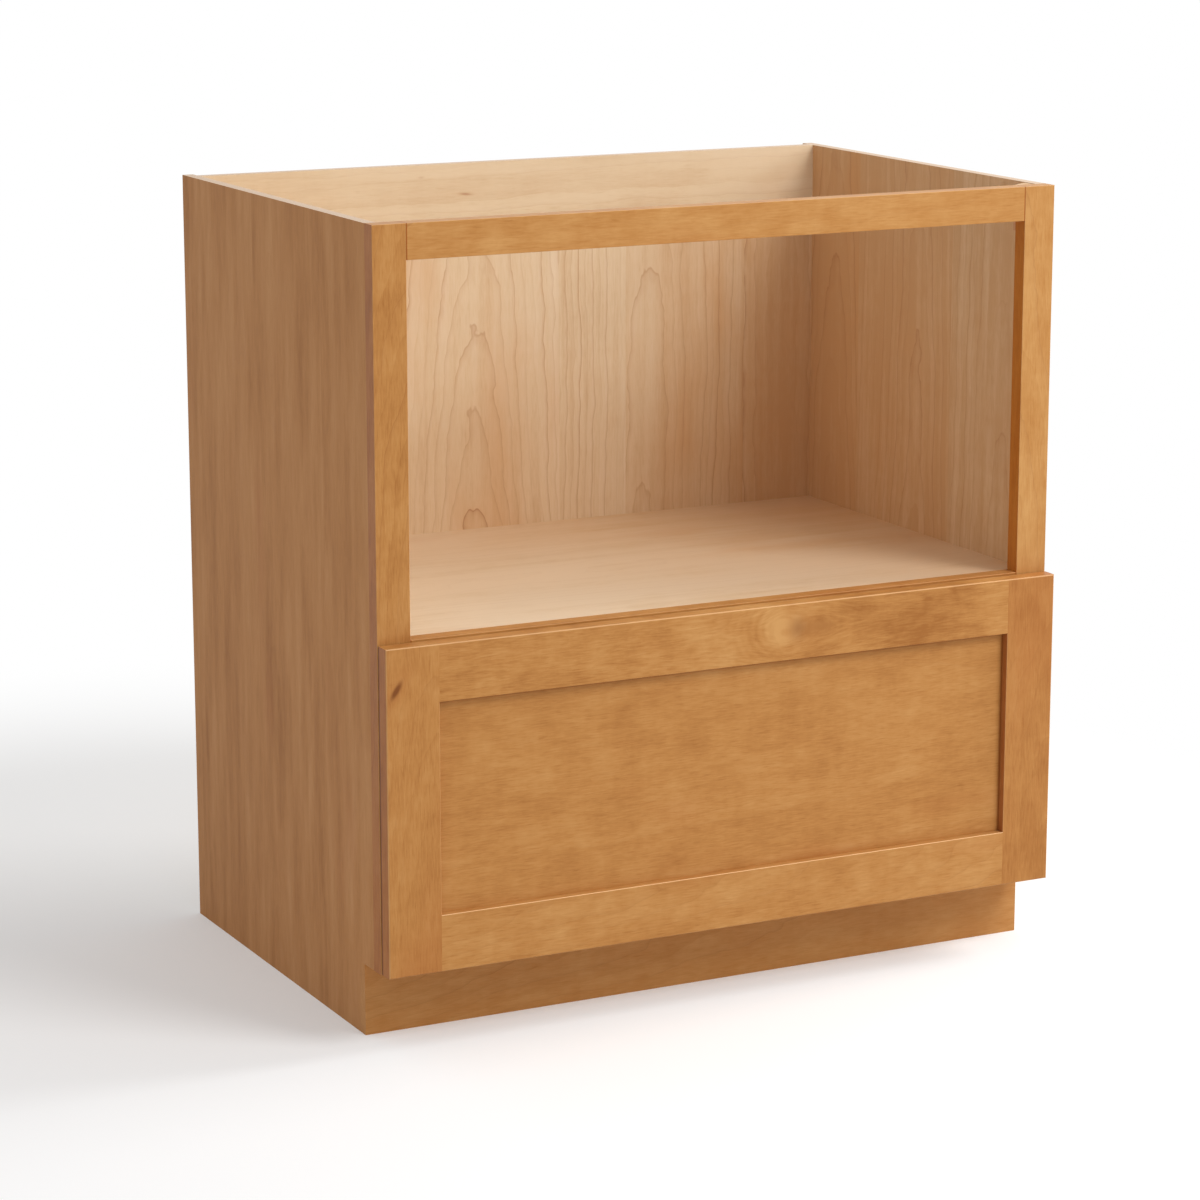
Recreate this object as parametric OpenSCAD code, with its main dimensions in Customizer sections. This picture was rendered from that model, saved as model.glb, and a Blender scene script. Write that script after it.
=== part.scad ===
// Microwave base cabinet: a face frame on a panel case, an open bay for the oven and,
// under it, one deep drawer on a pair of ball bearing slides.
// Millimetres. The origin is on the floor, midway across the width and midway between the
// face of the drawer front and the back edges of the sides. +Z is up and the front is -Y.

/* [Case] */
// Width over the outer faces of the two side panels
case_w = 825.5; // [640:0.1:960]
// Height from the floor to the top edges
case_h = 876.3; // [800:0.1:940]
// Depth from the face of the frame to the back edges of the sides
case_d = 538.2; // [480:0.1:620]
// Thickness of each side panel
side_t = 12.7; // [10:0.1:19]
// Thickness of the back panel and of the hanging rail above it
back_t = 12.7; // [9:0.1:18]
// How far the sides run on behind the back panel, to be scribed to a wall
scribe_d = 12.7; // [3:0.1:14]
// Depth of the grooves in the sides that hold the deck, the floor and the back
dado_d = 6.35; // [2:0.05:8]
// Play between a board and the groove or joint that holds it
joint_fit = 0.1; // [0.05:0.01:0.3]
// Height of the hanging rail
hanging_rail_h = 88.9; // [60:0.1:110]
// Height of the tongue that joins the back panel to the hanging rail
tongue_h = 8; // [4:0.5:12]
// Thickness of that tongue
tongue_t = 4.2; // [2:0.1:6]

/* [Deck and floor] */
// Thickness of the deck that the oven stands on
deck_t = 19.05; // [16:0.05:25]
// Shoulder above the tongues that let the deck into the sides
deck_shoulder = 6.35; // [3:0.05:9]
// How far the deck lies below the top of the middle rail
deck_drop = 2; // [0:0.1:6]
// Thickness of the cabinet floor under the drawer
floor_t = 12.7; // [9:0.1:19]
// How far the cabinet floor lies below the top of the bottom rail
floor_drop = 6; // [0:0.5:12]

/* [Toe space] */
// Height of the toe space
toe_h = 80; // [60:0.5:115]
// How far the toe board stands back from the face of the frame
toe_recess = 44; // [30:0.5:80]
// Thickness of the finished toe board
toe_board_t = 12.7; // [6:0.1:19]
// Thickness of the plain backer behind the toe board
toe_backer_t = 19.05; // [12:0.05:25]

/* [Face frame] */
// Thickness of the face frame
frame_t = 19.05; // [16:0.05:25]
// Width of each stile
stile_w = 38.1; // [34:0.1:60]
// Height of the top rail
top_rail_h = 38.1; // [25:0.1:60]
// Height of the middle rail
mid_rail_h = 38.1; // [28:0.1:60]
// Height of the bottom rail
bottom_rail_h = 38.1; // [28:0.1:60]
// Height of the drawer opening between the middle and bottom rails
drawer_opening_h = 284.2; // [260:0.1:330]
// Length of the tenon on each end of a rail
tenon_l = 12.7; // [6:0.1:25]
// Thickness of those tenons
tenon_t = 6.35; // [4:0.05:8]
// Shoulder above and below each tenon
tenon_shoulder = 6; // [3:0.5:8]
// Radius on the front edges of the frame
frame_ease = 0.6; // [0.3:0.1:1.5]

/* [Corner blocks] */
// Width of a corner block along the frame
block_w = 25; // [18:0.5:40]
// Depth of a corner block along the side panel
block_d = 19; // [12:0.5:40]
// Height of a corner block
block_h = 50; // [20:1:80]
// How far the corner blocks lie below the top edges
block_drop = 0.6; // [0:0.1:5]
// Width of the flat nose on the front corner of a block
block_nose = 5; // [2:0.5:8]

/* [Drawer front] */
// Thickness of the drawer front
front_t = 19.05; // [18:0.05:25]
// Gap between the drawer front and the face frame, which the bumpers fill
front_gap = 1.5; // [1:0.1:4]
// How far the drawer front stops short of each side of the frame
front_reveal_side = 0.5; // [0:0.1:6]
// How far the top of the drawer front lies below the top of the middle rail
front_reveal_top = 2.1; // [0:0.1:12]
// How far the bottom of the drawer front lies above the bottom of the frame
front_reveal_bottom = 1; // [0:0.1:12]
// Width of the drawer front's stiles
front_stile_w = 61; // [54:0.5:90]
// Height of the drawer front's rails
front_rail_h = 62.5; // [40:0.5:90]
// How far the panel's face lies behind the face of its frame
panel_recess = 9.5; // [6:0.1:10]
// Thickness of the panel
panel_t = 6.35; // [4:0.05:7]
// Depth of the groove that holds the panel
panel_groove_d = 9.5; // [6:0.1:14]
// Room left for the panel to swell at each edge
panel_gap = 1.5; // [0.2:0.1:4]
// Radius on the outer front edges of the drawer front
front_ease = 1.6; // [0.5:0.1:3]
// Radius on the inner edges round the panel
inner_ease = 0.8; // [0.3:0.1:2]
// Diameter of each bumper
bumper_d = 9; // [6:0.5:14]

/* [Drawer box] */
// Clearance between the drawer box and the back panel
box_rear_gap = 44.4; // [12:0.1:80]
// Height of the drawer box
box_h = 228.6; // [150:0.1:240]
// Thickness of the four boards of the drawer box
box_t = 12.7; // [11:0.1:19]
// Gap between the top of the bottom rail and the drawer box
box_lift = 14; // [6:0.5:18]
// Thickness of the drawer bottom
bottom_t = 6.35; // [4:0.05:9]
// Height of the drawer bottom above the lower edge of the box
bottom_lift = 12.7; // [8:0.1:20]
// Depth of the groove that holds the drawer bottom
bottom_groove_d = 6.35; // [3:0.05:8]
// Room for the drawer bottom at each edge
bottom_gap = 0.5; // [0.2:0.1:2]
// Distance from one dovetail to the next, as near as whole tails allow
tail_pitch = 38; // [25:1:60]
// Width of a pin at the outer end of the joint
pin_w = 7; // [5:0.5:12]
// Slope of a dovetail, as rise over run
tail_slope = 0.15; // [0.08:0.01:0.2]
// Radius on the top edges of the drawer box
box_ease = 2; // [0.5:0.1:3]

/* [Slides] */
// How far the slides start behind the face of the frame
slide_setback = 4; // [2:0.5:8]
// How far the slides end in front of the back of the drawer box
slide_rear_gap = 7.2; // [0:0.1:30]
// Thickness of a closed slide, from the cabinet to the drawer box
slide_t = 12.7; // [12.7:0.1:14]
// Height of a slide
slide_h = 45; // [43:0.5:50]
// Height of the slide's centre line above the lower edge of the drawer box
slide_lift = 60; // [30:1:110]
// Thickness of the rolled steel
steel_t = 1.2; // [0.9:0.1:1.3]
// Radius of a bearing ball
ball_r = 2; // [1.8:0.05:2.1]
// Clearance between a ball and its races
race_gap = 0.3; // [0.1:0.05:0.35]
// Clearance between the webs of two slide members
web_gap = 0.8; // [0.7:0.05:1]
// Clearance between the inner folds of a middle member and the web of the drawer member
fold_gap = 0.6; // [0.5:0.05:0.75]
// How much further apart the ball rows lie than the fold between them needs
row_slack = 0.4; // [0.3:0.05:0.5]
// Thickness of a ball cage
cage_t = 0.4; // [0.3:0.05:0.5]
// Clearance between a ball and the notch that holds it
cage_play = 0.15; // [0.05:0.05:0.3]
// How much each end of a ball cage stays clear of the ends of the members at full reach
cage_inset = 3; // [0:0.5:12]
// Distance from one ball to the next, as near as whole balls allow
ball_pitch = 30; // [15:1:60]
// Radius of the screw holes in the slides
screw_hole_r = 2.3; // [1.5:0.1:2.8]
// Radius of the access holes in the middle members
access_hole_r = 5; // [3:0.1:8]
// Distance from either end of a slide to its first screw hole
screw_inset = 37; // [20:1:60]
// Height of the spacer bars that carry the slides
spacer_h = 70; // [50:1:100]

/* [Hidden] */

// How far a cut runs on past the face that it opens
over = 1;
// Facets of a full circle, and the degrees that one facet of a fold spans
facets = 32;
fold_step = 12;

// Planes across the depth, front to back
front_y = -(case_d + front_gap + front_t) / 2;
box_y = front_y + front_t;
frame_y = box_y + front_gap;
frame_back_y = frame_y + frame_t;
toe_y = frame_y + toe_recess;
toe_backer_y = toe_y + toe_board_t;
rear_y = frame_y + case_d;
back_y = rear_y - scribe_d - back_t;
box_l = back_y - box_rear_gap - box_y;
slide_y = frame_y + slide_setback;
slide_l = box_y + box_l - slide_rear_gap - slide_y;

// Planes across the width, on the right of the middle
half_w = case_w / 2;
side_in = half_w - side_t;
// Half the width of a board that is let into both sides
let_in = side_in + dado_d - joint_fit;
open_x = half_w - stile_w;
front_half_w = half_w - front_reveal_side;
panel_half_w = front_half_w - front_stile_w;
box_half_w = open_x - slide_t;

// Levels, from the floor up
drawer_open_z = toe_h + bottom_rail_h;
floor_z = drawer_open_z - floor_drop - floor_t;
middle_rail_z = drawer_open_z + drawer_opening_h;
bay_z = middle_rail_z + mid_rail_h;
deck_z = bay_z - deck_drop - deck_t;
top_rail_z = case_h - top_rail_h;
hanging_rail_z = case_h - hanging_rail_h;
frame_h = case_h - toe_h;
front_z = toe_h + front_reveal_bottom;
front_h = bay_z - front_reveal_top - front_z;
panel_z = front_z + front_rail_h;
panel_h = front_h - 2 * front_rail_h;
box_z = drawer_open_z + box_lift;
slide_z = box_z + slide_lift;
bottom_z = box_z + bottom_lift;

// Grooves and joints
groove_w = panel_t + 2 * joint_fit;
tail_count = max(2, round(box_h / tail_pitch));
tail_step = box_h / tail_count;

// The slide's profile: u runs from the cabinet towards the drawer box, v runs up from the
// centre line. Each member is one strip of steel folded round its rows of balls.
race_r = ball_r + race_gap;
fold_r = race_r + steel_t / 2;
outer_row = [steel_t + race_r, slide_h / 2 - steel_t - race_r];
inner_row_u = slide_t - steel_t - fold_gap - steel_t - race_r;
row_distance = 2 * fold_r + row_slack;
row_run = inner_row_u - outer_row[0];
inner_row = [inner_row_u, outer_row[1] - sqrt(row_distance * row_distance - row_run * row_run)];
// Angle of the line from an outer ball to an inner one, and of the fold across that line
row_angle = atan2(inner_row[1] - outer_row[1], row_run);
fold_angle = row_angle - acos(2 * fold_r / row_distance);
// Angles at which the arcs round the balls end, and at which the drawer member's lip ends
outer_arc_end = 10;
inner_arc_end = 15;
lip_angle = 215;
middle_web_u = steel_t + web_gap + steel_t / 2;
// A cage moves half as far as its member, so it lies between a quarter and three quarters
cage_l = slide_l / 2 - 2 * cage_inset;
cage_setback = slide_l / 4 + cage_inset;
outer_cage_u = steel_t + (web_gap - cage_t) / 2;
inner_cage_u = middle_web_u + steel_t / 2 + cage_t;

wood_stained = [0.77, 0.53, 0.31];
wood_side = [0.62, 0.44, 0.31];
wood_natural = [0.87, 0.74, 0.58];
wood_raw = [0.85, 0.71, 0.55];
steel = [0.74, 0.75, 0.77];
rubber = [0.85, 0.86, 0.84];

// ---- shared shapes ----

// A plate drawn in the Y-Z plane, from x = 0 to x = t
module yz_plate(t) {
    rotate([90, 0, 90]) linear_extrude(t) children();
}

// A bar drawn in the X-Z plane, from y = 0 to y = l
module xz_bar(l) {
    translate([0, l, 0]) rotate([90, 0, 0]) linear_extrude(l) children();
}

// A board with two corners given: the low one and the high one
module board(low, high) {
    translate(low) cube(high - low);
}

// The waste of a rounded edge along +Z, for a solid that lies at x > 0 and y > 0
module edge_waste(r, l) {
    translate([0, 0, -over]) linear_extrude(l + 2 * over) difference() {
        translate([-over, -over]) square(r + over);
        translate([r, r]) circle(r, $fn = facets);
    }
}

// The same along the bottom edge of a face that looks towards -Y
module bottom_edge_waste(r, l) {
    mirror([1, 0, -1]) edge_waste(r, l);
}

// The waste round all four front edges of a face w by h that looks towards -Y
module face_edges_waste(w, h, r) {
    edge_waste(r, h);
    translate([w, 0, 0]) mirror([1, 0, 0]) edge_waste(r, h);
    bottom_edge_waste(r, w);
    translate([0, 0, h]) mirror([0, 0, 1]) bottom_edge_waste(r, w);
}

module on_left() {
    mirror([1, 0, 0]) children();
}

// ---- case ----

// The outline of a side, in Y and Z, with the notch for the toe space
module side_outline() {
    polygon([
        [frame_back_y, case_h], [rear_y, case_h], [rear_y, 0],
        [toe_backer_y, 0], [toe_backer_y, toe_h], [frame_back_y, toe_h],
    ]);
}

module side_panel_right() {
    color(wood_side) difference() {
        translate([side_in, 0, 0]) yz_plate(side_t) side_outline();
        // Grooves for the deck, the floor and the back
        board([side_in - over, frame_back_y - over, deck_z],
              [side_in + dado_d, back_y + over, deck_z + deck_t - deck_shoulder]);
        board([side_in - over, frame_back_y - over, floor_z],
              [side_in + dado_d, back_y + over, floor_z + floor_t]);
        board([side_in - over, back_y, -over], [side_in + dado_d, back_y + back_t, case_h + over]);
    }
}

module side_panel_left() {
    on_left() side_panel_right();
}

// The tongue between the back panel and the hanging rail, out to x = half on both sides
module tongue(half, grow) {
    translate([-half, back_y + (back_t - tongue_t) / 2 - grow, hanging_rail_z - over])
        cube([2 * half, tongue_t + 2 * grow, over + tongue_h + grow]);
}

module back_panel() {
    color(wood_natural) union() {
        board([-let_in, back_y, 0], [let_in, back_y + back_t, hanging_rail_z]);
        tongue(let_in, 0);
    }
}

// The groove for the tongue runs out at both ends
module hanging_rail() {
    color(wood_natural) difference() {
        board([-let_in, back_y, hanging_rail_z], [let_in, back_y + back_t, case_h]);
        tongue(let_in + over, joint_fit);
    }
}

module microwave_deck() {
    color(wood_natural) union() {
        board([-side_in, frame_back_y, deck_z], [side_in, back_y, deck_z + deck_t]);
        board([-let_in, frame_back_y, deck_z], [let_in, back_y, deck_z + deck_t - deck_shoulder]);
    }
}

module cabinet_floor() {
    color(wood_natural)
        board([-let_in, frame_back_y, floor_z], [let_in, back_y, floor_z + floor_t]);
}

module toe_kick_board() {
    color(wood_stained)
        board([-half_w, toe_y, 0], [half_w, toe_y + toe_board_t, toe_h]);
}

module toe_kick_backer() {
    color(wood_raw)
        board([-side_in, toe_backer_y, 0], [side_in, toe_backer_y + toe_backer_t, floor_z]);
}

// A three-cornered block, with its long corner cut to a flat nose
module corner_block_right() {
    color(wood_raw)
        translate([side_in, frame_back_y, case_h - block_drop - block_h]) mirror([1, 0, 0])
            linear_extrude(block_h)
                polygon([[0, 0], [block_w, 0], [block_w, block_nose], [block_nose, block_d], [0, block_d]]);
}

module corner_block_left() {
    on_left() corner_block_right();
}

// ---- face frame ----

// A tenon from x = 0 to x = l, on a rail whose lower edge is at z
module tenon(z, h, l, grow) {
    translate([0, frame_y + (frame_t - tenon_t) / 2 - grow, z + tenon_shoulder - grow])
        cube([l, tenon_t + 2 * grow, h - 2 * tenon_shoulder + 2 * grow]);
}

module stile_right() {
    color(wood_stained) difference() {
        board([open_x, frame_y, toe_h], [half_w, frame_back_y, case_h]);
        for (rail = [[toe_h, bottom_rail_h], [middle_rail_z, mid_rail_h], [top_rail_z, top_rail_h]])
            translate([open_x - over, 0, 0]) tenon(rail[0], rail[1], tenon_l + over, joint_fit);
        translate([open_x, frame_y, toe_h]) face_edges_waste(stile_w, frame_h, frame_ease);
    }
}

module stile_left() {
    on_left() stile_right();
}

// A rail of the face frame between the stiles, with a tenon on each end
module frame_rail(z, h) {
    color(wood_stained) difference() {
        union() {
            board([-open_x, frame_y, z], [open_x, frame_back_y, z + h]);
            for (s = [0, 1]) mirror([s, 0, 0])
                translate([open_x - over, 0, 0]) tenon(z, h, tenon_l + over - joint_fit, 0);
        }
        // Wider than the rail, so that its ends stay square
        translate([-case_w, frame_y, z]) face_edges_waste(2 * case_w, h, frame_ease);
    }
}

module top_rail() {
    frame_rail(top_rail_z, top_rail_h);
}

module middle_rail() {
    frame_rail(middle_rail_z, mid_rail_h);
}

module bottom_rail() {
    frame_rail(toe_h, bottom_rail_h);
}

// ---- drawer front ----

// The waste round the outer front edges of the whole drawer front
module front_outer_waste() {
    translate([-front_half_w, front_y, front_z])
        face_edges_waste(2 * front_half_w, front_h, front_ease);
}

// The space that the panel's groove takes, on all four sides of the panel
module panel_groove() {
    board([-panel_half_w - panel_groove_d, front_y + panel_recess - joint_fit, panel_z - panel_groove_d],
          [panel_half_w + panel_groove_d, front_y + panel_recess - joint_fit + groove_w,
           panel_z + panel_h + panel_groove_d]);
}

module drawer_front_stile_right() {
    color(wood_stained) difference() {
        board([panel_half_w, front_y, front_z], [front_half_w, box_y, front_z + front_h]);
        // The groove runs the whole length of the stile
        board([panel_half_w - over, front_y + panel_recess - joint_fit, front_z - over],
              [panel_half_w + panel_groove_d, front_y + panel_recess - joint_fit + groove_w,
               front_z + front_h + over]);
        front_outer_waste();
        translate([panel_half_w, front_y, panel_z + over]) edge_waste(inner_ease, panel_h - 2 * over);
    }
}

module drawer_front_stile_left() {
    on_left() drawer_front_stile_right();
}

// A rail whose lower edge is at z. Its stub tenons fill the stiles' grooves.
module front_rail(z) {
    color(wood_stained) difference() {
        union() {
            board([-panel_half_w, front_y, z], [panel_half_w, box_y, z + front_rail_h]);
            board([-panel_half_w - panel_groove_d + joint_fit, front_y + panel_recess, z],
                  [panel_half_w + panel_groove_d - joint_fit, front_y + panel_recess + panel_t,
                   z + front_rail_h]);
        }
        panel_groove();
        front_outer_waste();
    }
}

module drawer_front_top_rail() {
    color(wood_stained) difference() {
        front_rail(front_z + front_h - front_rail_h);
        translate([-panel_half_w, front_y, panel_z + panel_h])
            bottom_edge_waste(inner_ease, 2 * panel_half_w);
    }
}

module drawer_front_bottom_rail() {
    color(wood_stained) difference() {
        front_rail(front_z);
        translate([-panel_half_w, front_y, panel_z]) mirror([0, 0, 1])
            bottom_edge_waste(inner_ease, 2 * panel_half_w);
    }
}

// The panel stands on the bottom of its lower groove
module drawer_front_panel() {
    reach = panel_groove_d - panel_gap;
    color(wood_stained)
        board([-panel_half_w - reach, front_y + panel_recess, panel_z - panel_groove_d],
              [panel_half_w + reach, front_y + panel_recess + panel_t, panel_z + panel_h + reach]);
}

module drawer_bumpers() {
    color(rubber)
        for (s = [-1, 1], z = [toe_h + bottom_rail_h / 2, middle_rail_z + mid_rail_h / 2])
            translate([s * (half_w - stile_w / 2), frame_y, z])
                rotate([90, 0, 0]) cylinder(h = front_gap, d = bumper_d, $fn = facets);
}

// ---- drawer box ----

// The tails of one corner in the Y-Z plane. y = 0 is the outer end of the joint.
module tails(grow) {
    for (i = [0 : tail_count - 1]) {
        middle = (i + 0.5) * tail_step;
        wide = (tail_step - pin_w) / 2 + grow;
        narrow = wide - tail_slope * box_t;
        polygon([
            [-over, middle - wide], [0, middle - wide], [box_t, middle - narrow],
            [box_t + over, middle - narrow], [box_t + over, middle + narrow], [box_t, middle + narrow],
            [0, middle + wide], [-over, middle + wide],
        ]);
    }
}

// The tails at both ends of a drawer side
module both_tails(grow) {
    tails(grow);
    translate([box_l, 0]) mirror([1, 0]) tails(grow);
}

// The space of the drawer bottom and its groove in all four boards
module bottom_groove() {
    in_w = box_half_w - box_t + bottom_groove_d;
    in_y = box_t - bottom_groove_d;
    board([-in_w, box_y + in_y, bottom_z], [in_w, box_y + box_l - in_y, bottom_z + bottom_t]);
}

// The waste of the two rounded top edges of a board of thickness t that runs along +Y
module top_edges_waste(t, l) {
    for (s = [0, 1])
        translate([s * t, 0, box_h]) mirror([s, 0, 0]) mirror([0, 0, 1])
            mirror([0, 1, -1]) edge_waste(box_ease, l);
}

module drawer_side_right() {
    color(wood_natural) difference() {
        translate([box_half_w - box_t, box_y, box_z]) difference() {
            yz_plate(box_t) {
                translate([box_t, 0]) square([box_l - 2 * box_t, box_h]);
                intersection() {
                    square([box_l, box_h]);
                    both_tails(0);
                }
            }
            top_edges_waste(box_t, box_l);
        }
        bottom_groove();
    }
}

module drawer_side_left() {
    on_left() drawer_side_right();
}

// A drawer end whose outer face is at y = 0, with its pins between the sides' tails
module drawer_end() {
    difference() {
        translate([-box_half_w, 0, 0]) cube([2 * box_half_w, box_t, box_h]);
        for (s = [0, 1]) mirror([s, 0, 0])
            translate([box_half_w - box_t - joint_fit, 0, 0])
                yz_plate(box_t + 2 * joint_fit) tails(joint_fit);
        translate([-box_half_w, 0, 0]) mirror([1, -1, 0]) top_edges_waste(box_t, 2 * box_half_w);
    }
}

module drawer_box_front() {
    color(wood_natural) difference() {
        translate([0, box_y, box_z]) drawer_end();
        bottom_groove();
    }
}

module drawer_box_back() {
    color(wood_natural) difference() {
        translate([0, box_y + box_l, box_z]) mirror([0, 1, 0]) drawer_end();
        bottom_groove();
    }
}

module drawer_bottom() {
    in_w = box_half_w - box_t + bottom_groove_d - bottom_gap;
    in_y = box_t - bottom_groove_d + bottom_gap;
    color(wood_natural)
        board([-in_w, box_y + in_y, bottom_z],
              [in_w, box_y + box_l - in_y, bottom_z + bottom_t - joint_fit]);
}

// ---- slides ----

// Points on an arc of radius r round c, from angle a to angle b
function arc(c, r, a, b) =
    let (n = ceil(abs(b - a) / fold_step))
    [for (i = [0 : n]) c + r * [cos(a + (b - a) * i / n), sin(a + (b - a) * i / n)]];

// A list without its first point, which the list before it ends on
function after_first(points) = [for (i = [1 : len(points) - 1]) points[i]];

function unit(v) = v / norm(v);

// The step from point i of a path to the edge of a strip of half width 1 along that path
function edge_step(p, i) =
    let (a = unit(i > 0 ? p[i] - p[i - 1] : p[1] - p[0]),
         b = unit(i < len(p) - 1 ? p[i + 1] - p[i] : p[i] - p[i - 1]),
         m = unit(a + b))
    [-m[1], m[0]] / (m * a);

// The profile of a member: a strip of steel along the path of its upper half, which starts
// on the centre line, and along the mirror image of that path
module folded_strip(half) {
    last = len(half) - 1;
    path = concat([for (i = [last : -1 : 1]) [half[i][0], -half[i][1]]], [for (i = [1 : last]) half[i]]);
    count = len(path) - 1;
    polygon(concat(
        [for (i = [0 : count]) path[i] + edge_step(path, i) * steel_t / 2],
        [for (i = [count : -1 : 0]) path[i] - edge_step(path, i) * steel_t / 2]));
}

// Places a profile of length l on the right-hand slide, its front end at y = start
module on_slide(l, start) {
    translate([open_x, slide_y + start, slide_z]) mirror([1, 0, 0]) xz_bar(l) children();
}

// Three holes through the web whose middle lies at u
module web_holes(u, r) {
    for (y = [screw_inset, slide_l / 2, slide_l - screw_inset])
        translate([open_x - u - steel_t, slide_y + y, slide_z])
            rotate([0, 90, 0]) cylinder(h = 2 * steel_t, r = r, $fn = facets);
}

// A C profile whose flanges wrap the outer rows of balls
module slide_cabinet_member_right() {
    color(steel) difference() {
        on_slide(slide_l, 0)
            folded_strip(concat([[steel_t / 2, 0]], arc(outer_row, fold_r, 180, outer_arc_end)));
        web_holes(steel_t / 2, screw_hole_r);
    }
}

module slide_cabinet_member_left() {
    on_left() slide_cabinet_member_right();
}

// The flange passes under the outer balls and over the inner ones
module slide_middle_member_right() {
    bend = outer_row[0] - middle_web_u;
    color(steel) difference() {
        on_slide(slide_l, 0)
            folded_strip(concat(
                [[middle_web_u, 0]],
                arc(outer_row - [0, fold_r + bend], bend, 180, 90),
                after_first(arc(outer_row, fold_r, -90, fold_angle)),
                arc(inner_row, fold_r, 180 + fold_angle, inner_arc_end)));
        web_holes(middle_web_u, access_hole_r);
    }
}

module slide_middle_member_left() {
    on_left() slide_middle_member_right();
}

// The flange turns in under the inner balls and ends in a raised lip
module slide_drawer_member_right() {
    web_u = slide_t - steel_t / 2;
    color(steel) difference() {
        on_slide(slide_l, 0)
            folded_strip(concat(
                [[web_u, 0]],
                arc([web_u - steel_t, inner_row[1] - fold_r - steel_t], steel_t, 0, 90),
                arc(inner_row, fold_r, 270, lip_angle)));
        web_holes(web_u, screw_hole_r);
    }
}

module slide_drawer_member_left() {
    on_left() slide_drawer_member_right();
}

// Where the balls of a cage stand along its slide
function ball_places() =
    let (count = floor(cage_l / ball_pitch))
    [for (i = [0 : count - 1]) cage_setback + (i + 0.5) * cage_l / count];

// The two rows of balls at row and its mirror image
module ball_rows(row) {
    for (y = ball_places(), s = [-1, 1])
        translate([open_x - row[0], slide_y + y, slide_z + s * row[1]]) sphere(ball_r, $fn = facets);
}

// A flat strip between the webs, notched round the outer balls
module outer_ball_cage_right() {
    half = outer_row[1] - cage_t;
    color(steel) difference() {
        on_slide(cage_l, cage_setback) translate([outer_cage_u, -half]) square([cage_t, 2 * half]);
        for (y = ball_places(), s = [-1, 1])
            translate([open_x - outer_row[0], slide_y + y, slide_z + s * outer_row[1]])
                rotate([0, 90, 0]) cylinder(h = fold_r, r = ball_r + cage_play, $fn = facets);
    }
    color(steel) ball_rows(outer_row);
}

module outer_ball_cage_left() {
    on_left() outer_ball_cage_right();
}

// A channel whose two flanges are notched round the inner balls
module inner_ball_cage_right() {
    half = inner_row[1] - cage_t;
    color(steel) difference() {
        on_slide(cage_l, cage_setback) {
            translate([inner_cage_u, -half]) square([cage_t, 2 * half]);
            for (s = [0, 1]) mirror([0, s])
                translate([inner_cage_u, half - cage_t])
                    square([inner_row[0] - ball_r / 2 - inner_cage_u, cage_t]);
        }
        for (y = ball_places())
            translate([open_x - inner_row[0], slide_y + y, slide_z - half - over])
                cylinder(h = 2 * (half + over), r = ball_r + cage_play, $fn = facets);
    }
    color(steel) ball_rows(inner_row);
}

module inner_ball_cage_left() {
    on_left() inner_ball_cage_right();
}

// The bar that brings a slide out to the edge of the stile
module slide_spacer_right() {
    color(wood_raw)
        board([open_x, frame_back_y, slide_z - spacer_h / 2], [side_in, back_y, slide_z + spacer_h / 2]);
}

module slide_spacer_left() {
    on_left() slide_spacer_right();
}

side_panel_left();
side_panel_right();
back_panel();
hanging_rail();
microwave_deck();
cabinet_floor();
toe_kick_board();
toe_kick_backer();
stile_left();
stile_right();
top_rail();
middle_rail();
bottom_rail();
corner_block_left();
corner_block_right();
slide_spacer_left();
slide_spacer_right();
slide_cabinet_member_left();
slide_cabinet_member_right();
slide_middle_member_left();
slide_middle_member_right();
slide_drawer_member_left();
slide_drawer_member_right();
outer_ball_cage_left();
outer_ball_cage_right();
inner_ball_cage_left();
inner_ball_cage_right();
drawer_front_stile_left();
drawer_front_stile_right();
drawer_front_top_rail();
drawer_front_bottom_rail();
drawer_front_panel();
drawer_side_left();
drawer_side_right();
drawer_box_front();
drawer_box_back();
drawer_bottom();
drawer_bumpers();
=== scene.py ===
import math

import bpy
import numpy as np
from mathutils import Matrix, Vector


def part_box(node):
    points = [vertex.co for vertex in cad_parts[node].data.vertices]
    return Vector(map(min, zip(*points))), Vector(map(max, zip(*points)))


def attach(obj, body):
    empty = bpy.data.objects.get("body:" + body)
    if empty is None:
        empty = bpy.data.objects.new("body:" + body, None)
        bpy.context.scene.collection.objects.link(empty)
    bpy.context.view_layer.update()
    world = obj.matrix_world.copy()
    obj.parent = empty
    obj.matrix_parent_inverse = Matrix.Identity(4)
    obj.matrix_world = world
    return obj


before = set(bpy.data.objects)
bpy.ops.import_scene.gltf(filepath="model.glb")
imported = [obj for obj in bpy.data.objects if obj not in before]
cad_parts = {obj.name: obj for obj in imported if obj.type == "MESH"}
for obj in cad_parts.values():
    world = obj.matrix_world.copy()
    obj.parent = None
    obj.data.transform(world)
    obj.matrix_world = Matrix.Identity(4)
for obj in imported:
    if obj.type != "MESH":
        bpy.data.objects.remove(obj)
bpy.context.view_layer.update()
print("frame loaded:", len(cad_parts), "nodes")


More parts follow.
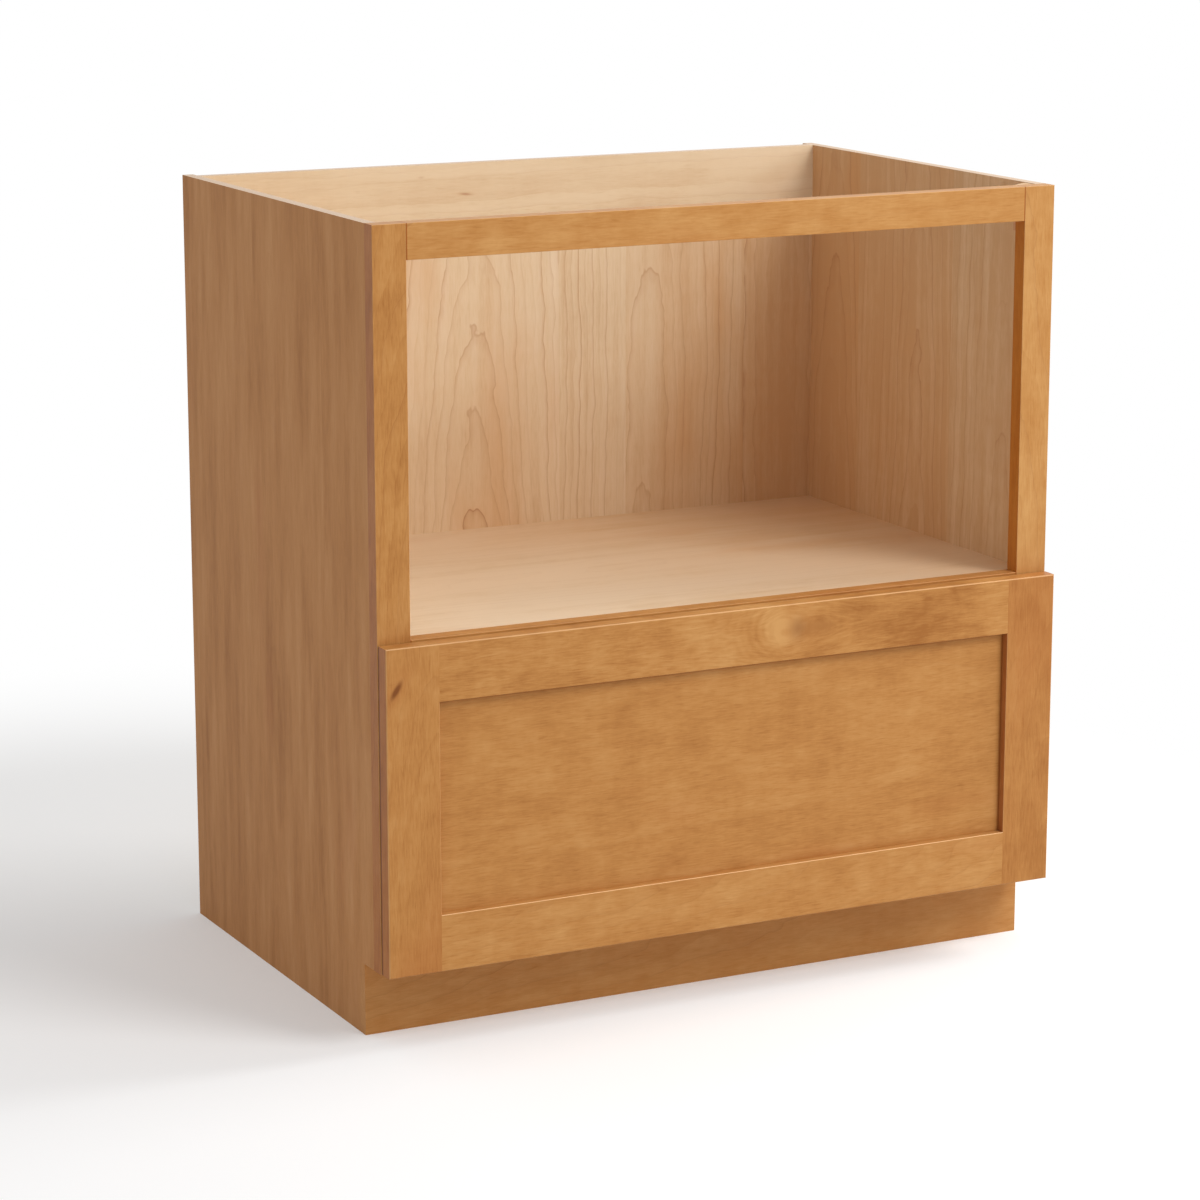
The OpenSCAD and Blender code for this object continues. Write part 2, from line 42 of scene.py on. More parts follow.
# One output socket of a node. Arithmetic on it adds Math nodes.
class Wire:
    def __init__(self, tree, socket=None):
        self.tree, self.socket = tree, socket

    # Any node: its type, its settings, then the values or links of its sockets
    def node(self, kind, settings=None, sockets=None, output=0):
        made = self.tree.nodes.new(kind)
        for key, value in (settings or {}).items():
            if key == "stops":
                ramp = made.color_ramp.elements
                while len(ramp) < len(value):
                    ramp.new(0.5)
                for stop, (place, colour) in zip(ramp, value):
                    stop.position, stop.color = place, colour
            else:
                setattr(made, key, value)
        for key, value in (sockets or {}).items():
            if isinstance(value, Wire):
                self.tree.links.new(value.socket, made.inputs[key])
            else:
                made.inputs[key].default_value = value
        return Wire(self.tree, made.outputs[output] if made.outputs else None)

    def math(self, operation, first, second=0.0):
        return self.node("ShaderNodeMath", {"operation": operation}, {0: first, 1: second})

    def __add__(self, other): return self.math("ADD", self, other)
    def __radd__(self, other): return self.math("ADD", other, self)
    def __sub__(self, other): return self.math("SUBTRACT", self, other)
    def __rsub__(self, other): return self.math("SUBTRACT", other, self)
    def __mul__(self, other): return self.math("MULTIPLY", self, other)
    def __rmul__(self, other): return self.math("MULTIPLY", other, self)
    def __truediv__(self, other): return self.math("DIVIDE", self, other)
    def __rtruediv__(self, other): return self.math("DIVIDE", other, self)
    def __pow__(self, other): return self.math("POWER", self, other)
    def __gt__(self, other): return self.math("GREATER_THAN", self, other)
    def __lt__(self, other): return self.math("LESS_THAN", self, other)
    def __neg__(self): return self.math("MULTIPLY", self, -1.0)
    def __abs__(self): return self.math("ABSOLUTE", self)
    def floor(self): return self.math("FLOOR", self)
    def fract(self): return self.math("FRACT", self)
    def sqrt(self): return self.math("SQRT", self)
    def exp(self): return self.math("EXPONENT", self)

    # 0 below low, 1 above high, with a soft step between
    def step(self, low, high):
        return self.node("ShaderNodeMapRange", {"interpolation_type": "SMOOTHSTEP"},
                         {"Value": self, "From Min": low, "From Max": high})


def blendColour(factor, under, over, kind="MIX"):
    return factor.node("ShaderNodeMix", {"data_type": "RGBA", "blend_type": kind},
                       {0: factor, 6: under, 7: over}, 2)


# How far a place lies in a direction, or how squarely a normal faces that way
def along(vector, direction):
    return vector.node("ShaderNodeVectorMath", {"operation": "DOT_PRODUCT"},
                       {0: vector, 1: direction}, 1)


# Noise from about -0.5 to 0.5 that changes size[i] times per metre along axis i
def cloud(position, size, detail=2.0, roughness=0.5):
    stretched = position.node("ShaderNodeVectorMath", {"operation": "MULTIPLY"},
                              {0: position, 1: size})
    noise = position.node("ShaderNodeTexNoise", {}, {"Vector": stretched, "Scale": 1.0,
                                                     "Detail": detail, "Roughness": roughness})
    return noise - 0.5


# sRGB colour, 0 to 255, as the linear colour that a socket takes
def paint(red, green, blue):
    linear = [c / 12.92 if c <= 0.04045 else ((c + 0.055) / 1.055) ** 2.4
              for c in (red / 255, green / 255, blue / 255)]
    return (*linear, 1.0)


# An empty material, and the wire that its nodes start from
def newMaterial(name):
    material = bpy.data.materials.new(name)
    material.use_nodes = True
    material.node_tree.nodes.clear()
    return material, Wire(material.node_tree)


# Ends a material in a Principled shader. Its bump is heightSize metres for a height of 1.
def endMaterial(start, sockets, height, heightSize):
    bump = start.node("ShaderNodeBump", {},
                      {"Height": height, "Strength": 1.0, "Distance": heightSize})
    shader = start.node("ShaderNodeBsdfPrincipled", {}, {**sockets, "Normal": bump})
    start.node("ShaderNodeOutputMaterial", {}, {"Surface": shader})


axes = {"x": (1.0, 0.0, 0.0), "y": (0.0, 1.0, 0.0), "z": (0.0, 0.0, 1.0)}

# Each finish: pale, middle and dark tones, the line of late wood, a redder tone, the tone of a
# rounded edge, with its wear and painted highlight, and of a knot, then how strong the fibres,
# pores, streaks, clouds, curl and lines are. The streak and the cloud change that many times per
# metre, across the grain and along it.
woodFinishes = {
    "stained": {
        "pale": paint(206, 154, 94), "middle": paint(189, 132, 72), "dark": paint(163, 105, 51),
        "line": paint(150, 90, 42), "red": paint(178, 110, 57), "edge": paint(240, 196, 146),
        "knot": paint(118, 64, 28), "fibre": 0.32, "pore": 0.09, "streak": 0.25, "cloud": 0.50,
        "curl": 0.13, "lineStrength": 0.42, "redStrength": 0.5, "roughness": 0.42, "coat": 0.03,
        "gloss": 0.11, "streakSize": (105.0, 18.0), "cloudSize": (26.0, 20.0),
    },
    "side": {
        "pale": paint(203, 149, 99), "middle": paint(190, 134, 83), "dark": paint(168, 113, 65),
        "line": paint(156, 100, 60), "red": paint(184, 119, 76), "edge": paint(204, 150, 106),
        "knot": paint(120, 72, 40), "fibre": 0.30, "pore": 0.05, "streak": 0.60, "cloud": 0.75,
        "curl": 0.05, "lineStrength": 0.14, "redStrength": 0.5, "roughness": 0.55, "coat": 0.0,
        "gloss": 0.10, "streakSize": (60.0, 7.0), "cloudSize": (22.0, 3.5),
    },
    "natural": {
        "pale": paint(233, 211, 182), "middle": paint(223, 197, 162), "dark": paint(203, 167, 128),
        "line": paint(180, 128, 86), "red": paint(207, 152, 98), "edge": paint(238, 218, 192),
        "knot": paint(160, 98, 62), "fibre": 0.26, "pore": 0.05, "streak": 0.42, "cloud": 0.50,
        "curl": 0.08, "lineStrength": 0.90, "redStrength": 0.4, "roughness": 0.48, "coat": 0.03,
        "gloss": 0.15, "streakSize": (100.0, 3.0), "cloudSize": (12.0, 4.5),
    },
    "raw": {
        "pale": paint(228, 197, 160), "middle": paint(218, 183, 144), "dark": paint(196, 156, 116),
        "line": paint(176, 132, 94), "red": paint(208, 160, 120), "edge": paint(230, 202, 168),
        "knot": paint(150, 100, 64), "fibre": 0.45, "pore": 0.15, "streak": 0.50, "cloud": 0.45,
        "curl": 0.10, "lineStrength": 0.55, "redStrength": 0.3, "roughness": 0.68, "coat": 0.0,
        "gloss": 0.15, "streakSize": (110.0, 3.2), "cloudSize": (13.0, 5.5),
    },
}

# What every board starts from
plainGrain = {
    "along": "z", "across": "x", "depth": "y",   # the axes of the grain
    "finish": "stained",
    "leaves": ({},),        # leaves of veneer side by side, or one for solid wood
    "shades": (),           # soft changes of tone and redness across or along the board
    "knots": (),            # knots and swirls
    "wander": 0.045,        # how far the rings stray, in metres
    "waves": 1.1,           # how much they waver, in rings
    "lines": 1.0,           # how strong the rings show
    "strength": 1.0,        # how strong the fibres and streaks are
    "narrowness": 1.0,      # how narrow the streaks and clouds are
    "clouds": 1.0,          # how strong the clouds are
    "plies": 0,             # plies that show on the edges, or 0 for solid wood
    "wearAndHighlight": 0.45,           # how pale the rounded edges are, with their wear and painted highlight
    "sideTint": (236, 216, 212),   # a darker, redder tint multiplied into a standing solid board's narrow sides
    "leftSideShade": None,     # painted shade on the narrow side that faces the left, away from the lamps
    "joint": None,          # how far the butt joints at both ends lie from the middle, in metres
    "gapShade": False,           # whether the narrow sides get painted shade towards the gap behind the board
    "borderShade": None,         # how far a frame's side and top edges lie from the middle, in metres, for painted shade there
    "inner": None,          # what differs on the inner face, if that has another finish
    "innerDirection": None,     # the way that the inner face looks
}

# The leaf of veneer, or the solid board, that every leaf starts from. Lengths in metres.
plainLeaf = {
    "from": -9.0,           # where it begins, across the grain from the board's middle
    "pith": (0.03, 0.09),   # where the pith lies, across from the board's middle and in depth
    "rise": 0.10,           # how fast the pith moves away in depth along the board
    "ring": 0.0075,         # width of a year ring
    "tone": 0.0,            # paler above 0, darker below
    "red": 0.0,             # redder above 0, less red below
}

# What every shade starts from. It begins at place - half and is whole at place + half.
plainShade = {"way": "across", "place": 0.0, "half": 0.01, "tone": 0.0, "red": 0.0}

# What every knot or swirl starts from. Lengths in metres, from the board's middle.
plainKnot = {
    "along": 0.0, "across": 0.0,    # its middle
    "length": 0.01, "width": 0.01,  # half its length and half its width
    "slant": 0.0,           # radians that it leans
    "dark": 0.0,            # how dark its core is
    "pale": 0.0,            # how pale its whole disc is
    "bend": 0.0,            # how far the fibres flow round it
    "pull": 0.0,            # how many rings it pushes apart
    "ripples": 0.0,         # waves of tone on its left, per half length
}

# What all the wood shares. A noise is how many times it changes per metre across the grain, in
# depth and along the grain, then its detail and its roughness.
woodLook = {
    "stray": ((4.0, 4.0, 1.8), 2.0), "waver": ((30.0, 30.0, 16.0), 3.0), "sink": ((2.0, 2.0, 2.2),),
    "fibre": ((600.0, 600.0, 60.0), 2.0, 0.6), "pore": ((650.0, 650.0, 55.0), 1.0),
    "curl": ((14.0, 14.0, 60.0), 3.0, 0.6), "redness": ((5.0, 5.0, 1.6), 3.0, 0.6),
    "streakDetail": (3.0, 0.5), "cloudDetail": (5.0, 0.62),
    "apart": {"board": 3.7, "leaf": 2.3, "depth": 1.9},     # metres between two pieces in the noise
    "year": ((0.0, 0.0), (0.70, 0.06), (0.92, 0.42), (0.97, 1.0), (1.0, 0.0)),  # late wood's shade
    "faintYear": 0.1, "clearYear": 0.9,     # how a faint year shows, and what a clear one adds
    "yearTone": 0.08,                       # how much the years differ in tone
    "toneStops": {"dark": 0.22, "middle": 0.5, "pale": 0.78},
    "poreEdge": (0.02, 0.28), "redEdge": (0.02, 0.22),
    "fibreRelief": 0.5, "streakRelief": 0.25, "lateRelief": 0.15, "poreRelief": 0.3,
    "relief": 0.00012, "reliefRoughness": 0.12, "coatRoughness": 0.25,
}

# How all the knots and swirls fade and colour the wood
knotLook = {
    "reach": 0.30, "core": 1.6,     # how fast the pull and the core fade outwards
    "coreWaver": 1.5, "coreRed": 0.25, "coreEdge": (0.0, 1.2), "coreStrength": 0.85,
    "discPower": 3.0,               # how suddenly the pale disc ends
    "rippleTone": 0.06, "rippleEdge": (0.3, 1.0),
}


# The limits between which each leaf of veneer draws its own look
veneerLook = {
    "leaves": 6,
    "pithAcross": (0.2, 0.8), "pithDepth": (0.04, 0.09),    # in leaf widths, and in metres
    "rise": (0.02, 0.11), "ring": (0.008, 0.012), "tone": (-0.04, 0.04),
}


# Leaves of veneer of one width side by side, the first of them at start. The values that a call
# gives hold for every leaf.
def veneer(width, start, seed, **values):
    chance = np.random.RandomState(seed)
    return tuple({"from": start + width * k,
                  "pith": (start + width * (k + chance.uniform(*veneerLook["pithAcross"])),
                           chance.uniform(*veneerLook["pithDepth"])),
                  **{key: chance.uniform(*veneerLook[key]) for key in ("rise", "ring", "tone")},
                  **values} for k in range(veneerLook["leaves"]))


# A number that changes at the joints between the leaves
def byLeaf(across, leaves, values):
    total = across * 0.0 + values[0]
    for leaf, before, after in zip(leaves[1:], values, values[1:]):
        if after != before:
            total = total + (across > leaf["from"]) * (after - before)
    return total


# How the fibres flow round the knots, and for each knot the place along it, the square of the
# distance from its middle, both in its half sizes, and its reach, e to the -reach times that square
def flowRoundKnots(across, length, knots):
    flow, found = across, []
    for knot in [{**plainKnot, **knot} for knot in knots]:
        cosine, sine = math.cos(knot["slant"]), math.sin(knot["slant"])
        there, aside = length - knot["along"], across - knot["across"]
        u = (there * cosine + aside * sine) / knot["length"]
        v = (aside * cosine - there * sine) / knot["width"]
        apart = u * u + v * v
        if knot["bend"]:
            flow = flow - v / (apart + 1.0) * (knot["bend"] * knot["width"])
        found.append((knot, u, apart, (apart * -knotLook["reach"]).exp()))
    return flow, found


# What knots and shades add: the darkness of the cores, or None, a change of tone and a redness
def knotColours(start, grain, length, strayed, waver, knots):
    cores, tone, red = None, 0.0, 0.0
    for shade in [{**plainShade, **shade} for shade in grain["shades"]]:
        place, half = shade["place"], shade["half"]
        share = (length if shade["way"] == "along" else strayed).step(place - half, place + half)
        tone, red = share * shade["tone"] + tone, share * shade["red"] + red
    for knot, u, apart, around in knots:
        if knot["dark"]:
            core = (apart * -knotLook["core"] + waver * knotLook["coreWaver"]).exp() * knot["dark"]
            cores = core if cores is None else cores + core
            red = around * (knotLook["coreRed"] * knot["dark"]) + red
        if knot["pale"]:
            tone = (-apart ** knotLook["discPower"]).exp() * knot["pale"] + tone
        if knot["ripples"]:
            wave = start.math("SINE", apart.sqrt() * (2 * math.pi * knot["ripples"]))
            before = (-u).step(*knotLook["rippleEdge"])
            tone = wave * around * before * knotLook["rippleTone"] + tone
    return cores, tone, red


# Colour and height of one face of wood. Rings are circles round a pith that runs slantwise under
# the board, so a face shows arches where it is cut nearly along them. Noise bends the rings,
# knots push them apart, and fibres, pores, streaks, clouds and curl lie over them.
def woodSurface(start, middle, grain, seed):
    look, shared = woodFinishes[grain["finish"]], woodLook
    leaves = [{**plainLeaf, **leaf} for leaf in grain["leaves"]]
    position = start.node("ShaderNodeTexCoord", output="Object")
    local = start.node("ShaderNodeVectorMath", {"operation": "SUBTRACT"}, {0: position, 1: middle})
    across, length, depth = [along(local, axes[grain[key]]) for key in ("across", "along", "depth")]
    apart = shared["apart"]
    ownPlace = byLeaf(across, leaves, [apart["board"] * seed + apart["leaf"] * number
                                       for number in range(len(leaves))])
    pithAcross, pithDepth = [byLeaf(across, leaves, [leaf["pith"][k] for leaf in leaves])
                             for k in (0, 1)]
    rise, ring, ownTone, ownRed = [byLeaf(across, leaves, [leaf[key] for leaf in leaves])
                                   for key in ("rise", "ring", "tone", "red")]
    flow, knots = flowRoundKnots(across, length, grain["knots"])
    place = start.node("ShaderNodeCombineXYZ", {},
                       {0: flow + ownPlace, 1: depth + apart["depth"] * seed, 2: length})

    waver = cloud(place, *shared["waver"])
    strayed = flow + cloud(place, *shared["stray"]) * grain["wander"]
    fromPith = strayed - pithAcross
    below = depth + length * rise + pithDepth + cloud(place, *shared["sink"]) * grain["wander"]
    rings = (fromPith * fromPith + below * below).sqrt() / ring + waver * grain["waves"]
    for knot, *_, around in knots:
        if knot["pull"]:
            rings = rings + around * knot["pull"]
    cores, knotTone, knotRed = knotColours(start, grain, length, strayed, waver, knots)

    yearChance = start.node("ShaderNodeTexWhiteNoise", {"noise_dimensions": "1D"},
                            {"W": rings.floor() + seed})
    stops = [(where, (shade, shade, shade, 1.0)) for where, shade in shared["year"]]
    late = along(start.node("ShaderNodeValToRGB", {"stops": stops}, {0: rings.fract()}), axes["x"])
    clearness = yearChance * yearChance * shared["clearYear"] + shared["faintYear"]
    late = late * clearness * grain["lines"]

    fibre = cloud(place, *shared["fibre"]) * grain["strength"]
    pore = cloud(place, *shared["pore"]).step(*shared["poreEdge"])
    streakWidth, cloudWidth = [look[key][0] * grain["narrowness"]
                               for key in ("streakSize", "cloudSize")]
    streak = cloud(place, (streakWidth, streakWidth, look["streakSize"][1]),
                   *shared["streakDetail"]) * grain["strength"]
    cloudy = cloud(place, (cloudWidth, cloudWidth, look["cloudSize"][1]),
                   *shared["cloudDetail"]) * grain["clouds"]
    curl = cloud(place, *shared["curl"])

    tone = (fibre * look["fibre"] - pore * look["pore"] + streak * look["streak"]
            + cloudy * look["cloud"] + curl * look["curl"]
            + (yearChance - 0.5) * shared["yearTone"] + ownTone + 0.5 + knotTone)
    stops = [(where, look[key]) for key, where in shared["toneStops"].items()]
    colour = start.node("ShaderNodeValToRGB", {"stops": stops}, {0: tone})
    redness = cloud(place, *shared["redness"]).step(*shared["redEdge"]) * look["redStrength"]
    redness = start.math("MINIMUM", redness + ownRed + knotRed, 1.0)
    colour = blendColour(redness, colour, look["red"])
    colour = blendColour(late * look["lineStrength"], colour, look["line"])
    if cores is not None:
        covered = cores.step(*knotLook["coreEdge"]) * knotLook["coreStrength"]
        colour = blendColour(covered, colour, look["knot"])
    height = (fibre * shared["fibreRelief"] + streak * shared["streakRelief"]
              - late * shared["lateRelief"] - pore * shared["poreRelief"])
    return colour, height, local


plyLook = {
    "pale": paint(224, 202, 180), "dark": paint(204, 174, 146), "seam": paint(166, 126, 96),
    "contrast": 0.55, "speckle": 0.5, "speckSize": (500.0, 500.0, 500.0), "speckDetail": (2.0, 0.6),
    "seamEdge": (0.40, 0.5), "seamStrength": 0.35, "roughness": 0.25,
}


# The edges of plywood: plies across the thickness, every second one darker, and a seam between
def plyEdge(start, local, grain, thickness):
    layer = (along(local, axes[grain["depth"]]) / thickness + 0.5) * grain["plies"]
    odd = start.math("PINGPONG", layer.floor(), 1.0)
    seam = abs(layer.fract() - 0.5).step(*plyLook["seamEdge"])
    speck = cloud(local, plyLook["speckSize"], *plyLook["speckDetail"])
    colour = blendColour(odd * plyLook["contrast"] + speck * plyLook["speckle"],
                         plyLook["pale"], plyLook["dark"])
    return blendColour(seam * plyLook["seamStrength"], colour, plyLook["seam"])


# Lengths in metres. An edge is a start and an end of a soft step.
boardLook = {
    "veneer": 0.0012,           # thickness of the inner veneer on a panel with two finishes
    "plyFace": 0.5,             # a face shows plies if it looks less than this along the depth
    "sideEdge": (0.8, 0.95),    # how squarely a narrow side faces
    # The gap colour is painted shade on narrow sides towards the gap behind a board
    "gapEdge": (0.0034, 0.0016), "gapShadeStrength": 0.7, "gapShadeColour": paint(98, 54, 26),
    "roundEdge": (0.92, 0.995), "highlightUp": 1.2, "highlightLevel": 0.5,    # painted highlight: upper edges are paler, as if lit from above
    "crackEdge": (0.0016, 0.0009), "crackStrength": 0.9, "crackColour": paint(158, 88, 32),
    # The border colour is painted shade on a panel along its frame
    "borderShadeWidth": 0.0040, "borderShadeStrength": 0.9, "borderShadeColour": paint(138, 74, 26),
    "innerSeed": 5,             # what the inner face adds to its board's seed
}


# A darker tint on the narrow sides of a standing board, painted shade on the side that faces the
# left, and painted shade on the narrow sides towards the gap behind the board
def tintAndShadeSides(colour, normal, local, grain, thickness):
    look, acrossWay = boardLook, axes[grain["across"]]
    side = abs(along(normal, acrossWay)).step(*look["sideEdge"])
    colour = blendColour(side, colour, paint(*grain["sideTint"]), "MULTIPLY")
    # Painted shade on the narrow side that faces the left, away from the lamps
    if grain["leftSideShade"]:
        leftSideShadeMask = (-along(normal, acrossWay)).step(*look["sideEdge"])
        colour = blendColour(leftSideShadeMask, colour, paint(*grain["leftSideShade"]), "MULTIPLY")
    # Painted shade: the narrow sides darken towards the gap behind the board
    if grain["gapShade"]:
        edges = [thickness / 2 - inset for inset in look["gapEdge"]]
        behind = along(local, axes[grain["depth"]]).step(*edges)
        colour = blendColour(side * behind * look["gapShadeStrength"], colour, look["gapShadeColour"])
    return colour


# Pale rounded edges, which are the faces that look along no axis: partly wear and partly a painted
# highlight, palest where they look up as if lit from above
def wearAndHighlightEdges(start, colour, normal, grain, pale):
    squareness = [abs(along(normal, axes[key])) for key in "xyz"]
    most = start.math("MAXIMUM", start.math("MAXIMUM", *squareness[:2]), squareness[2])
    # The rounded edges turn pale: partly wear, partly a painted highlight that is strongest where
    # they look up
    wearAndHighlight = 1.0 - most.step(*boardLook["roundEdge"])
    above = along(normal, axes["z"]) * boardLook["highlightUp"] + boardLook["highlightLevel"]
    above = start.math("MINIMUM", start.math("MAXIMUM", above, 0.0), 1.0)
    return blendColour(wearAndHighlight * above * grain["wearAndHighlight"], colour, pale)


# Dark lines at the butt joints of a rail, and painted shade on a panel along the frame's top and
# side edges
def darkenJointsAndShadeBorder(start, colour, local, grain):
    look = boardLook
    length, across = along(local, axes[grain["along"]]), along(local, axes[grain["across"]])
    if grain["joint"]:
        crack = abs(length).step(*[grain["joint"] - inset for inset in look["crackEdge"]])
        colour = blendColour(crack * look["crackStrength"], colour, look["crackColour"])
    # Painted shade on the panel along the frame's top and side edges, where the frame shades it
    if grain["borderShade"]:
        past = start.math("MAXIMUM", abs(length) - grain["borderShade"]["side"],
                          across - grain["borderShade"]["top"])
        dark = past.step(-look["borderShadeWidth"], 0.0) * look["borderShadeStrength"]
        colour = blendColour(dark, colour, look["borderShadeColour"])
    return colour


def woodMaterial(node, grain, seed):
    low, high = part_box(node)
    middle = tuple((low + high) / 2)
    depthWay = axes[grain["depth"]]
    thickness = (high - low)["xyz".index(grain["depth"])]
    look = woodFinishes[grain["finish"]]
    material, start = newMaterial("wood " + node)
    normal = start.node("ShaderNodeTexCoord", output="Normal")
    colour, height, local = woodSurface(start, middle, grain, seed)
    roughness = height * woodLook["reliefRoughness"] + look["roughness"]
    if grain["inner"]:
        otherColour, otherHeight, local = woodSurface(start, middle, {**grain, **grain["inner"]},
                                                      seed + boardLook["innerSeed"])
        inside = along(local, grain["innerDirection"]) > boardLook["veneer"] - thickness / 2
        colour = blendColour(inside, colour, otherColour)
        height = height + inside * (otherHeight - height)
    if grain["plies"]:
        edge = abs(along(normal, depthWay)) < boardLook["plyFace"]
        colour = blendColour(edge, colour, plyEdge(start, local, grain, thickness))
        roughness = roughness + edge * plyLook["roughness"]
    elif grain["along"] == "z":
        colour = tintAndShadeSides(colour, normal, local, grain, thickness)
    colour = wearAndHighlightEdges(start, colour, normal, grain, look["edge"])
    colour = darkenJointsAndShadeBorder(start, colour, local, grain)
    endMaterial(start, {"Base Color": colour, "Roughness": roughness, "Coat Weight": look["coat"],
                        "Coat Roughness": woodLook["coatRoughness"],
                        "Specular IOR Level": look["gloss"]}, height, woodLook["relief"])
    return material


# The ways that the grain runs
levelGrain = {"along": "x", "across": "z"}
flatGrain = {"along": "x", "across": "y", "depth": "z"}
sideGrain = {"along": "z", "across": "y", "depth": "x"}
runnerGrain = {"along": "y", "across": "z", "depth": "x"}

sidePanel = {**sideGrain, "finish": "side", "plies": 9, "waves": 2.0, "wander": 0.08}
sideInside = {"finish": "natural", "waves": 1.1, "wander": 0.045}
frameOpening = 0.37465      # half the clear width of the face frame, in metres

